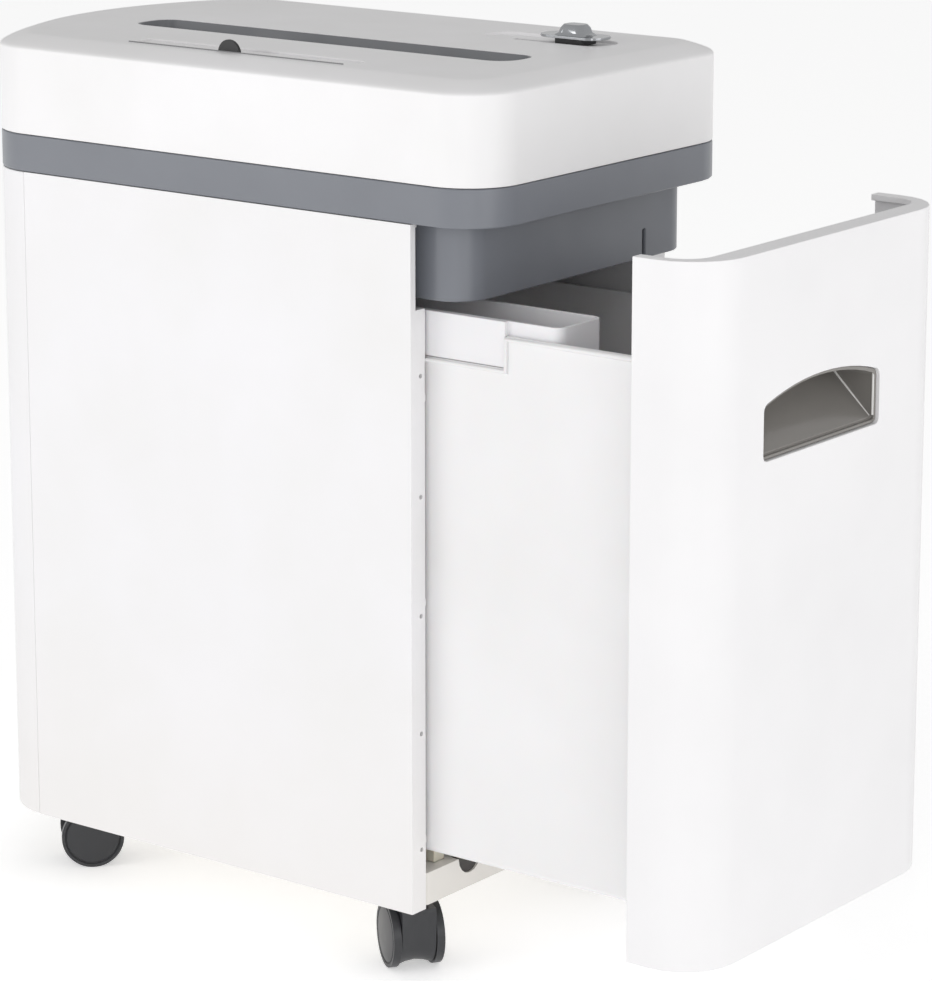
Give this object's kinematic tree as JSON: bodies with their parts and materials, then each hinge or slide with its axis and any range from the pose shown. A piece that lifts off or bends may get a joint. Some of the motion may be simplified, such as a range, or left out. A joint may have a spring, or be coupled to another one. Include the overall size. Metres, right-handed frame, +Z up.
{
  "type": "paper shredder",
  "caption": "Free-standing paper and CD shredder on casters, with a pull-out waste drawer and a cutter head on top.",
  "frame": {"origin": "on the floor, under the middle of the object's box with the drawer 122 mm out", "axes": "+Z up, -Y the way the drawer pulls out, -X the side with the CD slot"},
  "size_m": [0.205, 0.458, 0.4405],
  "materials": {
    "white_plastic": "fine-grained white ABS",
    "grey_plastic": "satin grey ABS",
    "dark_plastic": "satin dark grey ABS",
    "black_plastic": "black ABS",
    "chrome": "chromed plastic",
    "nylon": "natural nylon",
    "steel": "plain steel",
    "board": "green laminate",
    "caster_black": "satin black nylon"
  },
  "bodies": {
    "cabinet": {"base": "white_plastic", "side_panel_left": "white_plastic", "side_panel_right": "white_plastic", "back_panel": "white_plastic", "runner_left": "nylon", "runner_right": "nylon", "head_cover": "white_plastic", "lower_shell": "grey_plastic", "feed_chute": "dark_plastic", "cd_chute": "dark_plastic", "slide_switch": "black_plastic", "power_inlet": "black_plastic", "end_plate_front": "steel", "end_plate_rear": "steel", "bearing_block_front": "nylon", "bearing_block_rear": "nylon", "stripper_comb_a": "steel", "stripper_comb_b": "steel", "tie_bar_left": "steel", "tie_bar_right": "steel", "motor": "steel", "idler_pin": "steel", "cd_idler_pin": "steel", "circuit_board": "board", "capacitor": "black_plastic", "interlock_switch": "black_plastic", "paper_sensor": "black_plastic"},
    "drawer": {"waste_bin": "white_plastic", "cd_tray": "white_plastic", "drawer_front": "white_plastic", "drawer_screw_left": "steel", "drawer_screw_right": "steel", "handle_cup": "dark_plastic", "interlock_key": "black_plastic"},
    "cd_flap": {"cd_flap": "white_plastic", "cd_flap_tab": "black_plastic"},
    "switch": {"switch_slider": "chrome"},
    "cutter_a": {"cutter_shaft_a": "steel", "cutter_gear_a": "steel"},
    "cutter_b": {"cutter_shaft_b": "steel", "cutter_gear_b": "steel"},
    "idler": {"idler_gear": "nylon"},
    "pinion": {"motor_pinion": "steel"},
    "cd_idler": {"cd_idler_gear": "nylon"},
    "cd_cutter_a": {"cd_shaft_a": "steel"},
    "cd_cutter_b": {"cd_shaft_b": "steel"},
    "interlock": {"interlock_lever": "steel"},
    "sensor": {"paper_sensor_lever": "black_plastic"},
    "caster_front_left": {"caster_hood_front_left": "caster_black"},
    "wheel_front_left_inner": {"caster_wheel_front_left_inner": "caster_black"},
    "wheel_front_left_outer": {"caster_wheel_front_left_outer": "caster_black"},
    "caster_front_right": {"caster_hood_front_right": "caster_black"},
    "wheel_front_right_inner": {"caster_wheel_front_right_inner": "caster_black"},
    "wheel_front_right_outer": {"caster_wheel_front_right_outer": "caster_black"},
    "caster_back_left": {"caster_hood_back_left": "caster_black"},
    "wheel_back_left_inner": {"caster_wheel_back_left_inner": "caster_black"},
    "wheel_back_left_outer": {"caster_wheel_back_left_outer": "caster_black"},
    "caster_back_right": {"caster_hood_back_right": "caster_black"},
    "wheel_back_right_inner": {"caster_wheel_back_right_inner": "caster_black"},
    "wheel_back_right_outer": {"caster_wheel_back_right_outer": "caster_black"}
  },
  "joints": [
    {"name": "drawer_slide", "type": "slide", "parent": "cabinet", "child": "drawer", "axis": [0, -1, 0], "range_m": [-0.122, 0.075]},
    {"name": "cd_flap_hinge", "type": "hinge", "parent": "cabinet", "child": "cd_flap", "pos_m": [-0.0673, 0.0545, 0.4319], "axis": [0, 1, 0], "range_deg": [0, 100]},
    {"name": "switch_slide", "type": "slide", "parent": "cabinet", "child": "switch", "axis": [0, 1, 0], "range_m": [0, 0.03]},
    {"name": "cutter_a_spin", "type": "hinge", "parent": "cabinet", "child": "cutter_a", "pos_m": [-0.028, 0.0505, 0.36], "axis": [0, 1, 0], "continuous": true},
    {"name": "cutter_b_spin", "type": "hinge", "parent": "cabinet", "child": "cutter_b", "pos_m": [-0.006, 0.0505, 0.36], "axis": [0, 1, 0], "continuous": true},
    {"name": "idler_spin", "type": "hinge", "parent": "cabinet", "child": "idler", "pos_m": [0.02494, 0.1752, 0.35807], "axis": [0, 1, 0], "continuous": true},
    {"name": "pinion_spin", "type": "hinge", "parent": "cabinet", "child": "pinion", "pos_m": [0.05, 0.1752, 0.365], "axis": [0, 1, 0], "continuous": true},
    {"name": "cd_idler_spin", "type": "hinge", "parent": "cabinet", "child": "cd_idler", "pos_m": [-0.05137, 0.1752, 0.36735], "axis": [0, 1, 0], "continuous": true},
    {"name": "cd_cutter_b_spin", "type": "hinge", "parent": "cabinet", "child": "cd_cutter_b", "pos_m": [-0.0683, 0.0545, 0.378], "axis": [0, 1, 0], "continuous": true},
    {"name": "cd_cutter_a_spin", "type": "hinge", "parent": "cabinet", "child": "cd_cutter_a", "pos_m": [-0.0813, 0.0545, 0.378], "axis": [0, 1, 0], "continuous": true},
    {"name": "interlock_hinge", "type": "hinge", "parent": "cabinet", "child": "interlock", "pos_m": [0.0515, -0.072, 0.35], "axis": [1, 0, 0], "range_deg": [0, 20], "stiffness_Nm_per_rad": 0.01},
    {"name": "sensor_hinge", "type": "hinge", "parent": "cabinet", "child": "sensor", "pos_m": [-0.003, 0.0505, 0.38], "axis": [0, -1, 0], "range_deg": [0, 25], "stiffness_Nm_per_rad": 0.005},
    {"name": "swivel_front_left", "type": "hinge", "parent": "cabinet", "child": "caster_front_left", "pos_m": [-0.085, -0.0545, 0.036], "axis": [0, 0, 1], "continuous": true},
    {"name": "roll_front_left_inner", "type": "hinge", "parent": "caster_front_left", "child": "wheel_front_left_inner", "pos_m": [-0.0716, -0.05435, 0.016], "axis": [-0.809, 0.5878, 0], "continuous": true},
    {"name": "roll_front_left_outer", "type": "hinge", "parent": "caster_front_left", "child": "wheel_front_left_outer", "pos_m": [-0.089, -0.04171, 0.016], "axis": [-0.809, 0.5878, 0], "continuous": true},
    {"name": "swivel_front_right", "type": "hinge", "parent": "cabinet", "child": "caster_front_right", "pos_m": [0.085, -0.0545, 0.036], "axis": [0, 0, 1], "continuous": true},
    {"name": "roll_front_right_inner", "type": "hinge", "parent": "caster_front_right", "child": "wheel_front_right_inner", "pos_m": [0.09237, -0.04331, 0.016], "axis": [-0.9397, -0.342, 0], "continuous": true},
    {"name": "roll_front_right_outer", "type": "hinge", "parent": "caster_front_right", "child": "wheel_front_right_outer", "pos_m": [0.07216, -0.05066, 0.016], "axis": [-0.9397, -0.342, 0], "continuous": true},
    {"name": "swivel_back_left", "type": "hinge", "parent": "cabinet", "child": "caster_back_left", "pos_m": [-0.0585, 0.1684, 0.036], "axis": [0, 0, 1], "continuous": true},
    {"name": "roll_back_left_inner", "type": "hinge", "parent": "caster_back_left", "child": "wheel_back_left_inner", "pos_m": [-0.05656, 0.18166, 0.016], "axis": [-0.7071, -0.7071, 0], "continuous": true},
    {"name": "roll_back_left_outer", "type": "hinge", "parent": "caster_back_left", "child": "wheel_back_left_outer", "pos_m": [-0.07176, 0.16645, 0.016], "axis": [-0.7071, -0.7071, 0], "continuous": true},
    {"name": "swivel_back_right", "type": "hinge", "parent": "cabinet", "child": "caster_back_right", "pos_m": [0.0585, 0.1684, 0.036], "axis": [0, 0, 1], "continuous": true},
    {"name": "roll_back_right_inner", "type": "hinge", "parent": "caster_back_right", "child": "wheel_back_right_inner", "pos_m": [0.06969, 0.16103, 0.016], "axis": [-0.342, 0.9397, 0], "continuous": true},
    {"name": "roll_back_right_outer", "type": "hinge", "parent": "caster_back_right", "child": "wheel_back_right_outer", "pos_m": [0.06234, 0.18124, 0.016], "axis": [-0.342, 0.9397, 0], "continuous": true}
  ],
  "couplings": [
    {"joint": "cutter_b_spin", "follows": "cutter_a_spin", "ratio": -1},
    {"joint": "idler_spin", "follows": "cutter_a_spin", "ratio": 0.55},
    {"joint": "pinion_spin", "follows": "cutter_a_spin", "ratio": -1.8333},
    {"joint": "cd_idler_spin", "follows": "cutter_a_spin", "ratio": -0.81481},
    {"joint": "cd_cutter_b_spin", "follows": "cutter_a_spin", "ratio": 1.6923},
    {"joint": "cd_cutter_a_spin", "follows": "cutter_a_spin", "ratio": -1.6923}
  ]
}
